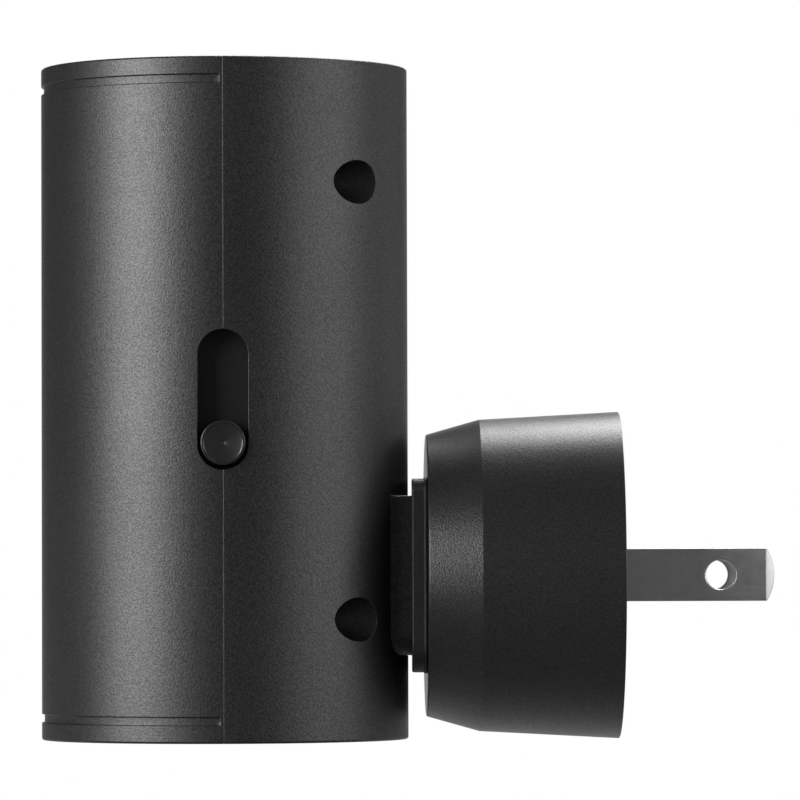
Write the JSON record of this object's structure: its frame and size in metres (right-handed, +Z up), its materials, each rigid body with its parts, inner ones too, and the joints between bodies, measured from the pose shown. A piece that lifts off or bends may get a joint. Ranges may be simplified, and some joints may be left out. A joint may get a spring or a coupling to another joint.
{
  "type": "plug in night light",
  "caption": "Matte black cylindrical night light with a slide dimmer on its side, open light ends and a swivelling round two-blade wall plug behind it.",
  "frame": {"origin": "centre of the plug's wall face, on the axis that the lamp swivels about", "axes": "+X goes into the wall along the blades, +Z is up along the cylinder, and the dimmer slot faces -Y"},
  "size_m": [0.0886, 0.0451, 0.0814],
  "materials": {
    "shell_black": "fine moulded grain, matte",
    "plug_black": "fine moulded grain, matte",
    "spindle_black": "smooth satin",
    "knob_black": "smooth satin, turned dish",
    "strip_black": "smooth matte",
    "opal": "opal, frosted",
    "reflector_white": "white gloss",
    "board_white": "white solder mask",
    "board_green": "green solder mask",
    "led": "phosphor in clear resin",
    "component_black": "moulded epoxy",
    "capacitor_sleeve": "shrink sleeve",
    "resistor_body": "lacquer",
    "socket_plastic": "natural nylon",
    "bearing_plastic": "natural acetal",
    "lead_sheath": "soft sheath",
    "dimmer_case": "tinned steel",
    "screw_steel": "zinc plated",
    "blade_plating": "satin nickel plating on brass",
    "contact_brass": "bright",
    "copper": "enamelled wire",
    "ferrite": "sintered"
  },
  "bodies": {
    "plug": {"plug_housing": "plug_black", "face_plate": "plug_black", "line_blade": "blade_plating", "neutral_blade": "blade_plating", "blade_retainer": "bearing_plastic", "face_plate_screws": "screw_steel", "power_board": "board_green", "power_board_screws": "screw_steel", "transformer_core": "ferrite", "transformer_winding": "copper", "power_capacitors": "capacitor_sleeve", "rectifier": "component_black", "fuse_resistor": "resistor_body", "output_jack": "component_black"},
    "lamp": {"front_shell": "shell_black", "back_shell": "shell_black", "top_diffuser": "opal", "bottom_diffuser": "opal", "top_reflector": "reflector_white", "bottom_reflector": "reflector_white", "top_led_board": "board_white", "bottom_led_board": "board_white", "top_leds": "led", "bottom_leds": "led", "led_board_screws": "screw_steel", "main_board": "board_green", "board_screws": "screw_steel", "dimmer_body": "dimmer_case", "control_chip": "component_black", "smoothing_capacitor": "capacitor_sleeve", "chip_resistors": "component_black", "supply_socket": "socket_plastic", "led_sockets": "socket_plastic", "top_led_leads": "lead_sheath", "bottom_led_leads": "lead_sheath", "shell_screws": "screw_steel", "saddle_block": "shell_black", "saddle_screws": "screw_steel", "swivel_spindle": "spindle_black", "spindle_screws": "screw_steel", "stop_collar": "bearing_plastic", "retaining_ring": "screw_steel", "spring_washer": "screw_steel", "supply_cable": "lead_sheath", "supply_plug": "contact_brass"},
    "slider": {"switch_knob": "knob_black", "shutter_strip": "strip_black", "dimmer_lever": "bearing_plastic"}
  },
  "joints": [
    {"name": "plug_swivel", "type": "hinge", "parent": "plug", "child": "lamp", "pos_m": [0, 0, 0], "axis": [1, 0, 0], "range_deg": [-90, 90]},
    {"name": "slider_travel", "type": "slide", "parent": "lamp", "child": "slider", "axis": [0, 0, 1], "range_m": [0, 0.01024]}
  ]
}
